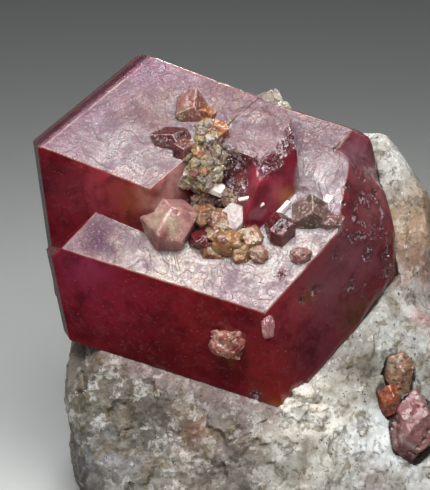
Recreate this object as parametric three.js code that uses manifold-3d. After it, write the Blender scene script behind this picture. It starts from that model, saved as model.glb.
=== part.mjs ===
// Grossular garnet specimen: two large intergrown dodecahedral garnets on a block of marble.
// Units are millimetres, +Z is up, and the base of the block is a flat face at z = 0.
import * as THREE from 'three';
import { ConvexGeometry } from 'three/addons/geometries/ConvexGeometry.js';
import { mergeVertices } from 'three/addons/utils/BufferGeometryUtils.js';
import Module from 'manifold-3d';

const wasm = await Module();
wasm.setup();

// ---- Driving dimensions ----

const SEAT_GAP = 0.3; // clear space kept between two pieces that touch
const NEAR_CORNER = [-0.3, -9.6, 16.5]; // where the lower garnet's terrace, front and right faces meet
const UPPER_STEP = [-3.4, 2.6, 6.4]; // from the lower near corner to the upper garnet's own one
const LOWER_TURN = [132.0, 15.2, 46.0]; // turns about x, y and z of the lower garnet's lattice
const UPPER_TURN = [127.6, 10.2, 45.5]; // the upper lattice leans about five degrees from it
const THICKNESS = 17; // from a garnet's near faces to the far faces that the block hides
const BLOCK_WIDTH = 29;
const BLOCK_DEPTH = 24;
const BLOCK_HEIGHT = 22; // of the back wall, above the base
const FACE_ANGLE = 54.74; // between a dodecahedron's face and the edges that run into it
const SKIRT_PROUD = 0.2; // the block stands out this far under the garnets' lower edges
const SKIRT_LEAN = 0.8; // 0 leaves the skirt under the garnets as flat as the terrace, 2 makes it steep

// Lattice directions of the faces. The first twelve are the faces of a rhombic dodecahedron.
const FACE = {
  terrace: [1, 1, 0],
  front: [0, 1, 1],
  right: [1, 0, 1],
  left: [-1, 1, 0],
  upLeft: [0, 1, -1],
  upBack: [1, 0, -1],
  rightEnd: [1, -1, 0],
  underRight: [0, -1, 1],
  underside: [-1, 0, 1],
  rearBottom: [-1, -1, 0],
  rear: [0, -1, -1],
  rearLeft: [-1, 0, -1],
  bevel: [3, 0, 1], // corroded slope between terrace and right side
  endCorner: [1, -2, 1], // worn corner below the right end
  upEnd: [3, -1, -2], // worn corner above the right end
  rim: [1, 2, -1], // narrow growth face along the upper garnet's left ridge
  slope: [0, 1, 0], // floor of the notch in the upper garnet
};
const DODECAHEDRON = Object.keys(FACE).slice(0, 12);

// Three of the four threefold axes, which the edges of a dodecahedron run along.
const AXIS = {
  left: [-1, 1, -1],
  back: [1, -1, -1],
  down: [-1, -1, 1],
};

// Each block lists how far its faces stand from the near corner of its garnet.
const LOWER_BLOCKS = [
  { terrace: 0, front: 0, right: 0, left: 13.3, upLeft: 12.5, upBack: 12.1, rightEnd: 11.6,
    underRight: 6.7, underside: 6.5, bevel: 3.05, endCorner: 9.1, upEnd: 12.4,
    rearBottom: THICKNESS, rear: THICKNESS, rearLeft: THICKNESS },
  { terrace: 0.35, front: -7.4, right: -0.15, left: -6.4, upBack: 12.2, rightEnd: 11.2,
    underRight: 6.5, underside: 6.2, bevel: 3.2, upEnd: 12.5, rearBottom: 16, rear: 16, rearLeft: 16 },
  { terrace: 0.3, front: -8.9, right: -3.5, left: 9, upLeft: 9, upBack: 13.95, rightEnd: 11.6,
    underRight: 6.4, underside: 6.1, rearBottom: 16.5, rear: 16.5, rearLeft: 16.5 },
  { terrace: 0.28, front: -8.8, right: -0.2, left: 9, upLeft: 9, upBack: 12.15, rightEnd: 11.1,
    underRight: 6.3, underside: 6.0, bevel: 3.12, upEnd: 12.45, rearBottom: 16.2, rear: 16.2,
    rearLeft: 16.2 },
];
const UPPER_BLOCKS = [
  { terrace: 0, front: 0, right: -4.2, left: 11.5, upLeft: 11.7, upBack: 9.0, rightEnd: 5,
    rim: 6.45, underRight: 11, underside: 10, rearBottom: 18, rear: 17.5, rearLeft: 18 },
  { terrace: -0.08, front: -4.8, right: 0, left: 9, upLeft: 9, upBack: 8.9, rightEnd: 6.6,
    underRight: 11, underside: 10, rearBottom: 17, rear: 17, rearLeft: 17 },
  { terrace: -0.3, front: -2.1, right: -0.05, left: 8, upLeft: 8, upBack: 8.5, rightEnd: 6.4,
    underRight: 11, underside: 10, slope: -2.7, rearBottom: 16, rear: 16, rearLeft: 16 },
];

// ---- Shapes ----

const vector = ([x, y, z]) => new THREE.Vector3(x, y, z);

function latticeTurn(degrees) {
  const [x, y, z] = degrees.map(THREE.MathUtils.degToRad);
  return new THREE.Matrix4().makeRotationFromEuler(new THREE.Euler(x, y, z, 'XYZ'));
}

const LOWER = { turn: latticeTurn(LOWER_TURN), corner: vector(NEAR_CORNER) };
const UPPER = { turn: latticeTurn(UPPER_TURN), corner: vector(NEAR_CORNER).add(vector(UPPER_STEP)) };

const along = (garnet, axis) => vector(AXIS[axis]).normalize().applyMatrix4(garnet.turn);

const faceNormal = (garnet, face) => vector(FACE[face]).normalize().applyMatrix4(garnet.turn);

// A point of a garnet's skin, by two distances along its edges and a height along a face's normal.
function pointOn(garnet, face, [axisA, a], [axisB, b], height = 0) {
  return garnet.corner
    .clone()
    .addScaledVector(along(garnet, axisA), a)
    .addScaledVector(along(garnet, axisB), b)
    .addScaledVector(faceNormal(garnet, face), height);
}

// Corners of the solid that lies behind every plane: each three planes meet in one point, and the
// points that no other plane cuts off are its corners.
function cornersBetween(planes) {
  const corners = [];
  const tolerance = 1e-6;
  planes.forEach((a, i) =>
    planes.slice(i + 1).forEach((b, j) =>
      planes.slice(i + j + 2).forEach((c) => {
        const bc = b.normal.clone().cross(c.normal);
        const volume = a.normal.dot(bc);
        if (Math.abs(volume) < tolerance) return;
        const point = bc
          .multiplyScalar(a.reach)
          .addScaledVector(c.normal.clone().cross(a.normal), b.reach)
          .addScaledVector(a.normal.clone().cross(b.normal), c.reach)
          .divideScalar(volume);
        const inside = planes.every((p) => p.normal.dot(point) < p.reach + tolerance);
        const known = corners.some((q) => q.distanceTo(point) < 1e-4);
        if (inside && !known) corners.push(point);
      }),
    ),
  );
  return corners;
}

// A solid from a closed three.js geometry, with its shared corners merged.
function solidOf(geometry) {
  const bare = geometry.index ? geometry.toNonIndexed() : geometry.clone();
  bare.deleteAttribute('normal');
  bare.deleteAttribute('uv');
  const merged = mergeVertices(bare, 1e-4);
  return new wasm.Manifold(
    new wasm.Mesh({
      numProp: 3,
      vertProperties: new Float32Array(merged.attributes.position.array),
      triVerts: new Uint32Array(merged.index.array),
    }),
  );
}

function geometryOf(solid) {
  const mesh = solid.getMesh();
  const geometry = new THREE.BufferGeometry();
  geometry.setAttribute('position', new THREE.BufferAttribute(mesh.vertProperties, 3));
  geometry.setIndex(new THREE.BufferAttribute(mesh.triVerts, 1));
  geometry.computeVertexNormals();
  return geometry;
}

// One block of a garnet, with all of its faces moved out by grow.
function block(garnet, distances, grow = 0) {
  const planes = Object.entries(distances).map(([face, distance]) => {
    const normal = faceNormal(garnet, face);
    return { normal, reach: normal.dot(garnet.corner) + distance + grow };
  });
  return solidOf(new ConvexGeometry(cornersBetween(planes)));
}

function cluster(grow) {
  const blocks = [
    ...LOWER_BLOCKS.map((distances) => block(LOWER, distances, grow)),
    ...UPPER_BLOCKS.map((distances) => block(UPPER, distances, grow)),
  ];
  return blocks.reduce((whole, part) => whole.add(part));
}

// A small dodecahedral crystal. stretch lengthens it along world x, y and z, and turn leans its
// lattice from the lower garnet's.
function crystal({ centre, radius, turn = [0, 0, 0], stretch = [1, 1, 1] }) {
  const lattice = latticeTurn(turn).multiply(LOWER.turn);
  const planes = DODECAHEDRON.map((face, i) => ({
    normal: vector(FACE[face]).normalize().applyMatrix4(lattice),
    reach: radius * (1 + 0.07 * Math.sin(5 * i + 9 * radius)), // no two faces grow alike
  }));
  const geometry = new ConvexGeometry(cornersBetween(planes));
  geometry.scale(...stretch);
  geometry.translate(centre.x, centre.y, centre.z);
  return geometry;
}

// A lumpy stone: an icosphere pushed out towards a rounded box, with slow ripples over it.
function stone({ centre, size, detail = 4, squareness = 2.6, roughness = 0.06, seed = 1, turn = [0, 0, 0] }) {
  const geometry = new THREE.IcosahedronGeometry(1, detail);
  const position = geometry.attributes.position;
  const p = new THREE.Vector3();
  for (let i = 0; i < position.count; i += 1) {
    p.fromBufferAttribute(position, i).normalize();
    const ripple =
      Math.sin(3.1 * p.x + 1.7 * p.y + seed) +
      Math.sin(5.3 * p.y - 2.9 * p.z + 2 * seed) +
      Math.sin(7.1 * p.z + 4.3 * p.x + 3 * seed) * 0.7 +
      Math.sin(11.3 * p.x - 9.7 * p.y + 8.1 * p.z + 5 * seed) * 0.45;
    const sum = ['x', 'y', 'z'].reduce((s, k) => s + Math.abs(p[k]) ** squareness, 0);
    p.multiplyScalar(sum ** (-1 / squareness) * (1 + roughness * ripple));
    position.setXYZ(i, (p.x * size[0]) / 2, (p.y * size[1]) / 2, (p.z * size[2]) / 2);
  }
  geometry.applyMatrix4(latticeTurn(turn));
  geometry.translate(centre.x, centre.y, centre.z);
  return geometry;
}

// The skirt: the two slopes of the block that start at the garnets' lower edges.
const { front, right, underside } = LOWER_BLOCKS[0];
const edgeDrop = (underside - front - right) / Math.sin(THREE.MathUtils.degToRad(FACE_ANGLE));
const lowCorner = pointOn(LOWER, 'front', ['down', edgeDrop], ['left', 0], SKIRT_PROUD);
const skirtNormal = (side) =>
  faceNormal(LOWER, 'terrace').addScaledVector(faceNormal(LOWER, side), SKIRT_LEAN).normalize();

// A point of the right-hand skirt, by distances back along its top edge and down its slope.
function onSkirt(back, drop, height = 0) {
  const edge = along(LOWER, 'back');
  const normal = skirtNormal('right');
  return lowCorner
    .clone()
    .addScaledVector(edge, back)
    .addScaledVector(edge.clone().cross(normal), drop)
    .addScaledVector(normal, height);
}

function largestPiece(solid) {
  return solid.decompose().reduce((best, piece) => (piece.volume() > best.volume() ? piece : best));
}

// ---- Materials ----

const finish = (color, roughness) => new THREE.MeshStandardMaterial({ color, roughness, metalness: 0 });
const RASPBERRY = finish(0x7a1c2c, 0.2);
const WINE = finish(0x4a0f1a, 0.15);
const BROWN = finish(0x7a5348, 0.45);
const ORANGE = finish(0x9a4a18, 0.4);
const PINK = finish(0xb07a72, 0.4);
const DRUSE = finish(0x8a8270, 0.7);
const CALCITE = finish(0xe8e2d8, 0.35);
const MARBLE = finish(0xc4c0b6, 0.85);

// ---- Pieces ----

const specimen = new THREE.Group();

function addPiece(name, solid, material) {
  const mesh = new THREE.Mesh(geometryOf(solid), material);
  mesh.name = name;
  specimen.add(mesh);
}

// The two garnets and their steps grew into each other, so they are one solid.
addPiece('garnet_cluster', cluster(0), RASPBERRY);
const pocket = cluster(SEAT_GAP);

// Small pieces, in the order in which they seat: each is cut back from the garnets and from the
// pieces before it, so that it keeps the seat gap.
const taken = [pocket];

function seat(name, shape, size, material) {
  const grown = { ...size };
  if (size.radius) grown.radius = size.radius + SEAT_GAP;
  if (size.size) grown.size = size.size.map((s) => s + 2 * SEAT_GAP);
  const free = taken.reduce((solid, other) => solid.subtract(other), solidOf(shape(size)));
  addPiece(name, largestPiece(free), material);
  taken.push(solidOf(shape(grown)));
}

const onTerrace = (left, back, height = 0) =>
  pointOn(LOWER, 'terrace', ['left', left], ['back', back], height);
const onUpper = (left, back, height = 0) =>
  pointOn(UPPER, 'terrace', ['left', left], ['back', back], height);
const onFront = (left, down, height = 0) => pointOn(LOWER, 'front', ['left', left], ['down', down], height);

// Pink-beige crystal in the corner between the terrace and the upper front face.
seat('pink_crystal', crystal, { centre: onTerrace(10.4, 4.3, 0.6), radius: 1.65, turn: [8, -6, 12] }, PINK);

// Small sharp dark-red crystal and its brown-grey neighbour.
seat('wine_crystal', crystal, { centre: onTerrace(3.5, 6.8, 0.3), radius: 0.9, turn: [14, 10, 4] }, WINE);
seat('grey_crystal', crystal, { centre: onTerrace(2.8, 8.6, 0.35), radius: 1.05, turn: [2, -3, 2] }, BROWN);

// Crystals on the upper face, beside the notch.
seat('dark_crystal', crystal,
  { centre: onUpper(7.9, 5.1, 0.1), radius: 0.85, turn: [20, 0, 30], stretch: [1.35, 1, 0.8] }, WINE);
seat('small_dark_crystal', crystal, { centre: onUpper(5.9, 4.2, 0.0), radius: 0.6, turn: [-10, 15, 0] }, WINE);
seat('brown_crystal', crystal,
  { centre: onUpper(8.4, 7.8, 0.25), radius: 0.8, turn: [25, -10, 0], stretch: [1, 1, 1.25] }, BROWN);
seat('orange_crystal_back', crystal, { centre: onUpper(6.9, 8.0, 0.15), radius: 0.5, turn: [0, 20, 10] }, ORANGE);
seat('orange_crystal_side', crystal, { centre: onUpper(5.1, 6.7, 0.15), radius: 0.65, turn: [30, 5, 0] }, ORANGE);

// White cleavage chip, then the crust of fine grains that fills the notch around it.
seat('calcite_chip', crystal,
  { centre: onUpper(2.9, 3.6, -0.9), radius: 0.42, turn: [0, 10, 20], stretch: [1.3, 1, 0.6] }, CALCITE);
seat('druse', stone,
  { centre: onUpper(5.0, 5.0, -0.9), size: [2.6, 5.4, 3.6], detail: 4, roughness: 0.07, turn: [35, 0, -12] },
  DRUSE);

// Rust-orange lump where the notch opens onto the terrace, and two rounded buds.
seat('ochre_lump', stone,
  { centre: onTerrace(5.9, 4.4, 0.5), size: [2.4, 2.2, 2.4], detail: 3, roughness: 0.08, seed: 4 }, ORANGE);
seat('bud_left', stone, { centre: onTerrace(3.4, 4.4, 0.2), size: [1.2, 1.0, 1.0], detail: 2, seed: 2 }, BROWN);
seat('bud_right', stone, { centre: onTerrace(0.9, 5.4, 0.2), size: [1.3, 1.0, 1.0], detail: 2, seed: 3 }, BROWN);

// Thin pale chips left on the terrace.
seat('pale_splinter', stone,
  { centre: onTerrace(4.5, 8.9, 0.35), size: [1.5, 0.5, 0.5], detail: 2, squareness: 4, turn: [0, -35, 40] },
  CALCITE);
seat('pale_slab', stone,
  { centre: onTerrace(2.2, 10.5, 0.65), size: [0.9, 0.8, 0.5], detail: 2, squareness: 5, turn: [40, 0, 10] },
  CALCITE);

// Pale inclusion that stands out of the lower front face, and the nub at the chipped corner.
seat('pink_lump', stone,
  { centre: onFront(3.4, 3.6, 0.1), size: [2.3, 1.4, 2.0], detail: 3, roughness: 0.07, seed: 6 }, PINK);
seat('pale_nub', stone, { centre: onFront(0.0, 1.2, 0.0), size: [0.8, 0.9, 1.5], detail: 2, seed: 5 }, PINK);

// Garnet grains set in the block, right of the large garnets.
seat('rust_grain', crystal,
  { centre: onSkirt(6.4, 5.5, -0.1), radius: 0.65, turn: [10, 70, 20], stretch: [0.8, 0.8, 1.5] }, ORANGE);
seat('brown_grain', crystal,
  { centre: onSkirt(8.5, 4.7, -0.2), radius: 0.85, turn: [60, 10, 35], stretch: [0.9, 0.9, 1.4] }, BROWN);
seat('red_grain', crystal,
  { centre: onSkirt(6.2, 8.2, -0.5), radius: 1.45, turn: [25, 40, 10], stretch: [1, 1, 1.3] }, RASPBERRY);

// The block: a broad body whose front slopes away under the garnets' lower edges, a wall behind
// them, a shoulder on the right and a small horn behind the upper garnet. It is cut flat
// underneath, and the garnets and grains sit in pockets in it.
const blockParts = [
  { centre: vector([0, 0.5, 5.5]), size: [BLOCK_WIDTH, BLOCK_DEPTH, 19], detail: 9, squareness: 3.4,
    roughness: 0.022, seed: 1.3 },
  { centre: vector([0.5, 8.2, BLOCK_HEIGHT / 2]), size: [25, 9, BLOCK_HEIGHT], detail: 6, squareness: 3,
    roughness: 0.03, seed: 3.1 },
  { centre: vector([7.2, 5.2, 11.6]), size: [12.4, 13, 24.4], detail: 6, squareness: 2.3,
    roughness: 0.03, seed: 2.2 },
  { centre: vector([0.4, 9.6, 17.5]), size: [4.4, 4.2, 16.6], detail: 4, squareness: 4, seed: 0.7 },
];
const rough = blockParts.map((size) => solidOf(stone(size))).reduce((whole, part) => whole.add(part));

// A big box whose lower face is the plane through a point with the given outward normal.
function beyond(point, normal) {
  const size = 4 * BLOCK_WIDTH;
  const box = new THREE.BoxGeometry(size, size, size);
  box.translate(0, 0, size / 2);
  const lean = new THREE.Quaternion().setFromUnitVectors(new THREE.Vector3(0, 0, 1), normal);
  box.applyQuaternion(lean);
  box.translate(point.x, point.y, point.z);
  return solidOf(box);
}

const trimmed = [
  beyond(lowCorner, skirtNormal('front')),
  beyond(lowCorner, skirtNormal('right')),
  beyond(new THREE.Vector3(), new THREE.Vector3(0, 0, -1)),
].reduce((solid, cut) => solid.subtract(cut), rough);
addPiece('matrix', largestPiece(taken.reduce((solid, other) => solid.subtract(other), trimmed)), MARBLE);

// The origin is at the middle of the specimen's outline, on the base.
const outline = new THREE.Box3().setFromObject(specimen);
const middle = outline.getCenter(new THREE.Vector3());
specimen.position.set(-middle.x, -middle.y, -outline.min.z);

export default specimen;
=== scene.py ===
from itertools import combinations

import bmesh
import bpy
import numpy as np
from mathutils import Euler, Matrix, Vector


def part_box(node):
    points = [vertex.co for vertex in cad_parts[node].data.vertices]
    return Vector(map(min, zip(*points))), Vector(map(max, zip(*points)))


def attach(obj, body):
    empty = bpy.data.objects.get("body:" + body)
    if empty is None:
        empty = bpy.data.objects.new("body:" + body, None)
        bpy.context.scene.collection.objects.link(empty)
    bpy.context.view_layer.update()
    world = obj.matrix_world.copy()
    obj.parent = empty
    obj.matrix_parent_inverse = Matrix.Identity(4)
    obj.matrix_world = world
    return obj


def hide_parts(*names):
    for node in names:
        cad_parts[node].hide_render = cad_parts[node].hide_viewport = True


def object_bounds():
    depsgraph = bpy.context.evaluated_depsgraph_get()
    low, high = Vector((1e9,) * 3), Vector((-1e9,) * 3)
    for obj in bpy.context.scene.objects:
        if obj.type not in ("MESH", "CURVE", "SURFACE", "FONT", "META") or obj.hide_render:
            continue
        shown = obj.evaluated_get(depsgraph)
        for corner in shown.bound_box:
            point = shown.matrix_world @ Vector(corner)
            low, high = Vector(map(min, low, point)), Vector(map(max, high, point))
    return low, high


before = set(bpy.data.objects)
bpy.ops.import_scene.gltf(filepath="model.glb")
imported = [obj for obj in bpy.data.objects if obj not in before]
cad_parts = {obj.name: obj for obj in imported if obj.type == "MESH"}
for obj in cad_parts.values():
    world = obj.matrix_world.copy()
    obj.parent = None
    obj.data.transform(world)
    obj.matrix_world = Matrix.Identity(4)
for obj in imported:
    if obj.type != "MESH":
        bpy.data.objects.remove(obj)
cad_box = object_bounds()

# ---- The block of marble ----
# Coarse white, grey and cream calcite marble, broken by hand and flat underneath. The garnets grew
# in it, so it hugs them all round: its surface follows the frame's solid and closes the seat gap.

MM = 0.001
SEAT_GAP = 0.3  # mm that the frame's solids keep where the real pieces touch
BLOCK_SPACING = 0.21  # mm between points of the finished surface
GARNET_MARGIN = 1.5  # mm round the garnets' box within which the distance to them counts
FAR_FROM_GARNET = 9.0  # mm, given to all points beyond that
LUMP_HEIGHT = 0.3  # mm: slow swells of the block's surface
PIT_DEPTH = 0.15
CONTACT_END = 2.0  # mm: left of this, the marble is drawn towards a darker pink in a band along the garnets
BARE_MARBLE = (0.23, 0.215, 0.19)
PINK_CONTACT = (0.22, 0.13, 0.12)


def smoothstep(low, high, value):
    """0 below low, 1 above high, and 3t^2 - 2t^3 between them."""
    t = np.clip((value - low) / (high - low), 0, 1)
    return t * t * (3 - 2 * t)


def random_at(cells, seed, count=1):
    """Numbers from 0 to 1 that belong to whole-numbered cells: the fraction of a large sine."""
    angle = cells @ np.array([12.9898, 78.233, 37.719]) + 1.37 * seed
    waves = np.sin(angle[..., None] * (1 + 0.37 * np.arange(count)) + np.arange(count))
    return np.modf(np.abs(waves) * 43758.5453)[0]


def smooth_noise(points, size, seed):
    """Noise from -1 to 1: random values at the corners of cubes, blended by 3t^2 - 2t^3."""
    low = np.floor(points / size)
    t = points / size - low
    t = t * t * (3 - 2 * t)
    total = np.zeros(len(points))
    for corner in np.ndindex(2, 2, 2):
        weight = np.prod(np.where(corner, t, 1 - t), axis=1)
        total += weight * random_at(low + corner, seed)[:, 0]
    return 2 * total - 1


def rough_noise(points, size, seed, octaves=3):
    """Smooth noise with ever finer noise on it, each half as big and half as strong."""
    return sum(smooth_noise(points, size / 2**i, seed + i) / 2**i for i in range(octaves))


def wandering(points, amount, size, seed):
    """The points moved about by rough noise, which gives spots on them ragged borders."""
    return points + amount * np.stack([rough_noise(points, size, seed + k) for k in range(3)], axis=1)


def spot(places, centre, reach):
    """1 at a place and less around it, as a bell curve."""
    return np.exp(-np.sum((places - centre) ** 2, axis=1) / reach**2)


def tinted(tone, share, colour):
    """Each tone drawn towards a colour by its share."""
    return tone + share[:, None] * (np.array(colour) - tone)


def grains(points, size, seed):
    """The grain round each point. A seed lies somewhere in each cube of space, and a point belongs
    to the nearest seed. Gives the way from that seed to the point, and four random numbers."""
    home = np.floor(points / size)
    best = np.full(len(points), np.inf)
    way = np.zeros_like(points)
    draw = np.zeros((len(points), 4))
    for step in np.ndindex(3, 3, 3):
        cell = home + np.array(step) - 1
        random = random_at(cell, seed, 7)
        out = points - (cell + random[:, :3]) * size
        reach = np.sum(out**2, axis=1)
        nearer = reach < best
        best[nearer] = reach[nearer]
        way[nearer] = out[nearer]
        draw[nearer] = random[nearer, 3:]
    return way, draw


def facets(points, size, tilt, seed):
    """Height of a surface of broken grains: each grain is a flat facet with its own tilt and step."""
    way, draw = grains(points, size, seed)
    lean = draw[:, :3] - 0.5
    lean /= np.linalg.norm(lean, axis=1, keepdims=True) + 1e-9
    return tilt * (np.sum(way * lean, axis=1) + 0.5 * size * (draw[:, 3] - 0.5))


def nearest_on(points, triangles):
    """The nearest point of a surface: within a triangle it is the foot of the perpendicular, and
    elsewhere the nearest point of one of its three edges."""
    best = np.full(len(points), np.inf)
    foot = points.copy()
    for corners in triangles:
        edges = np.roll(corners, -1, axis=0) - corners
        normal = np.cross(edges[0], edges[1])
        normal /= np.linalg.norm(normal) + 1e-12
        flat = points - ((points - corners[0]) @ normal)[:, None] * normal
        within = np.all([(flat - c) @ np.cross(normal, e) >= 0 for c, e in zip(corners, edges)], axis=0)
        tries = [np.where(within[:, None], flat, corners[0])]
        for corner, edge in zip(corners, edges):
            share = np.clip((points - corner) @ edge / (edge @ edge + 1e-12), 0, 1)
            tries.append(corner + share[:, None] * edge)
        for place in tries:
            reach = np.sum((points - place) ** 2, axis=1)
            nearer = reach < best
            best[nearer] = reach[nearer]
            foot[nearer] = place[nearer]
    return foot


def cad_bmesh(node):
    """A copy of a frame solid with its shared corners merged and its flat faces whole."""
    made = bmesh.new()
    made.from_mesh(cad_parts[node].data)
    bmesh.ops.remove_doubles(made, verts=made.verts, dist=1e-6)
    return made


def mesh_arrays(mesh):
    """Points in mm, faces, and point normals of a mesh whose faces all have as many corners."""
    points = np.empty(len(mesh.vertices) * 3)
    mesh.vertices.foreach_get("co", points)
    normals = np.empty(len(mesh.vertices) * 3)
    mesh.vertex_normals.foreach_get("vector", normals)
    corners = np.empty(len(mesh.loops), np.int32)
    mesh.loops.foreach_get("vertex_index", corners)
    faces = corners.reshape(len(mesh.polygons), -1)
    return points.reshape(-1, 3) / MM, faces, normals.reshape(-1, 3)


def new_piece(name, points, faces, material, slot, fields, crease, node=None):
    """An object from points in mm, with number or colour fields on its points. Edges that turn more
    than crease degrees stay sharp. It takes the place of the CAD node that has its name."""
    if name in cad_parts:
        node = name
        name += "_body"
    mesh = bpy.data.meshes.new(name)
    mesh.from_pydata(points * MM, [], faces)
    mesh.shade_smooth()
    mesh.set_sharp_from_angle(angle=np.radians(crease))
    for field, values in (fields or {}).items():
        if values.ndim == 1:
            made = mesh.attributes.new(field, "FLOAT", "POINT")
            made.data.foreach_set("value", values.astype(np.float32))
        else:
            made = mesh.attributes.new(field, "FLOAT_COLOR", "POINT")
            solid = np.hstack([values, np.ones((len(values), 1))])
            made.data.foreach_set("color", solid.astype(np.float32).ravel())
    mesh.materials.append(material)
    piece = bpy.data.objects.new(name, mesh)
    bpy.context.scene.collection.objects.link(piece)
    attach(piece, "root")
    if node:
        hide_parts(node)


def triangle_arrays(shape):
    """Points in mm and triangles of a solid, which is let go."""
    bmesh.ops.triangulate(shape, faces=shape.faces)
    mesh = bpy.data.meshes.new("triangles")
    shape.to_mesh(mesh)
    shape.free()
    points, faces, _ = mesh_arrays(mesh)
    bpy.data.meshes.remove(mesh)
    return points, faces


def remeshed(node, spacing):
    """A frame solid with an even skin of small squares, spacing mm apart."""
    shape = cad_bmesh(node)
    mesh = bpy.data.meshes.new("shape")
    shape.to_mesh(mesh)
    shape.free()
    holder = bpy.data.objects.new("shape", mesh)
    bpy.context.scene.collection.objects.link(holder)
    skin = holder.modifiers.new("skin", "REMESH")
    skin.mode = "VOXEL"
    skin.voxel_size = spacing * MM
    view = bpy.context.evaluated_depsgraph_get()
    even = bpy.data.meshes.new_from_object(holder.evaluated_get(view))
    arrays = mesh_arrays(even)
    bpy.data.objects.remove(holder)
    bpy.data.meshes.remove(even)
    bpy.data.meshes.remove(mesh)
    return arrays


def fill(inputs, values):
    """Gives each of these inputs a number, a colour or another node's output."""
    for key, value in values.items():
        if isinstance(value, bpy.types.NodeSocket):
            value.id_data.links.new(value, inputs[key])
        else:
            inputs[key].default_value = value


def add_node(tree, kind, values=None, **settings):
    """Adds a shader node with its inputs and settings."""
    made = tree.nodes.new("ShaderNode" + kind)
    for key, value in settings.items():
        setattr(made, key, value)
    fill(made.inputs, values or {})
    return made


def tree_of(*values):
    """The node tree of the first of these values that is a node's output."""
    return next(v.id_data for v in values if isinstance(v, bpy.types.NodeSocket))


def maths(operation, a, b=0.0):
    """One arithmetic step on two numbers or outputs."""
    return add_node(tree_of(a, b), "Math", {0: a, 1: b}, operation=operation).outputs[0]


def times(a, b):
    """The product of two numbers or outputs."""
    return maths("MULTIPLY", a, b)


def weighted(*parts):
    """The sum of some outputs, each multiplied by its weight."""
    total, *others = [times(value, weight) for value, weight in parts]
    for other in others:
        total = maths("ADD", total, other)
    return total


def vector(operation, a, b):
    """One step on vectors: b is another vector, or the factor of a scaling."""
    values = {0: a, "Scale" if operation == "SCALE" else 1: b}
    made = add_node(tree_of(a, b), "VectorMath", values, operation=operation)
    return made.outputs["Value" if operation == "DOT_PRODUCT" else "Vector"]


def span(value, low, high, start=0.0, end=1.0):
    """start below low, end above high, and a smooth change between them."""
    values = {"Value": value, "From Min": low, "From Max": high, "To Min": start, "To Max": end}
    return add_node(tree_of(value), "MapRange", values, interpolation_type="SMOOTHSTEP").outputs[0]


def blend(share, a, b, way="MIX"):
    """Colour b over colour a by a share."""
    made = add_node(tree_of(share, a, b), "Mix", data_type="RGBA", blend_type=way)
    sockets = [made.inputs[0]] + [s for s in made.inputs if s.type == "RGBA"]
    fill(sockets, {0: share, 1: a, 2: b})
    return next(s for s in made.outputs if s.type == "RGBA")


def overlaid(colour, *layers):
    """Colours laid over a first one. Each layer has a value, two limits of it between which the
    layer's share grows from nothing, the share that it grows to, and its colour."""
    for value, low, high, share, layer in layers:
        colour = blend(span(value, low, high, 0.0, share), colour, (*layer, 1))
    return colour


def noise(place, per_mm, detail, roughness, distortion=0.0):
    """Cloudy noise from 0 to 1, with so many swells per mm."""
    values = {"Vector": place, "Scale": per_mm, "Detail": detail, "Roughness": roughness,
              "Distortion": distortion}
    return add_node(tree_of(place), "TexNoise", values).outputs["Fac"]


def grain_group():
    """Broken grains: each is a flat facet with its own tilt, and some are brighter than others. The
    tilt is the way from the middle of a cell times a random direction."""
    tree = bpy.data.node_groups.new("broken grains", "ShaderNodeTree")
    for title, kind in (("Place", "Vector"), ("Grain", "Float"), ("Warp", "Float")):
        tree.interface.new_socket(title, in_out="INPUT", socket_type="NodeSocket" + kind)
    for title in ("Height", "Tone"):
        tree.interface.new_socket(title, in_out="OUTPUT", socket_type="NodeSocketFloat")
    given = tree.nodes.new("NodeGroupInput").outputs
    per_mm = maths("DIVIDE", 1.0, given["Grain"])
    wobble = add_node(tree, "TexNoise", {"Vector": given["Place"], "Scale": 3.0, "Detail": 2.0})
    centred = vector("SUBTRACT", wobble.outputs["Color"], (0.5, 0.5, 0.5))
    place = vector("ADD", given["Place"], vector("SCALE", centred, given["Warp"]))
    cells = add_node(tree, "TexVoronoi", {"Vector": place, "Scale": per_mm}).outputs
    way = vector("SUBTRACT", place, cells["Position"])
    lean = vector("SUBTRACT", cells["Color"], (0.5, 0.5, 0.5))
    tone = add_node(tree, "SeparateColor", {"Color": cells["Color"]})
    fill(tree.nodes.new("NodeGroupOutput").inputs,
         {"Height": vector("DOT_PRODUCT", way, lean), "Tone": tone.outputs["Green"]})
    return tree


GRAINS = grain_group()


def broken_grains(place, size, warp):
    """The broken grains in a material, as large as this in mm and with wavering borders."""
    values = {"Place": place, "Grain": size, "Warp": warp}
    return add_node(tree_of(place), "Group", values, node_tree=GRAINS).outputs


def start_material(name):
    """A material with its Principled shader, and its place on the piece in mm."""
    material = bpy.data.materials.new(name)
    material.use_nodes = True
    place = vector("SCALE", add_node(material.node_tree, "TexCoord").outputs["Object"], 1 / MM)
    return material, material.node_tree.nodes["Principled BSDF"], place


def own_field(place, name, kind="Fac"):
    """A number or colour field that is kept on the piece's points."""
    return add_node(tree_of(place), "Attribute", attribute_name=name).outputs[kind]


def set_surface(shader, colour, roughness, height, strength=1.0):
    """Colour, roughness, and a height in mm whose slope turns the shader's normal."""
    bump = add_node(tree_of(height), "Bump", {"Height": height, "Strength": strength, "Distance": MM})
    fill(shader.inputs, {"Base Color": colour, "Roughness": roughness, "Normal": bump.outputs["Normal"]})


def set_body(shader, ior, milkiness, depths, reach, see_through=0.0):
    """How light goes into the stone: its bending, the share that scatters inside, how deep red,
    green and blue go, their reach in mm, and the share that passes straight through."""
    fill(shader.inputs, {"IOR": ior, "Transmission Weight": see_through,
                         "Subsurface Weight": milkiness, "Subsurface Radius": depths,
                         "Subsurface Scale": reach * MM})


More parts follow.
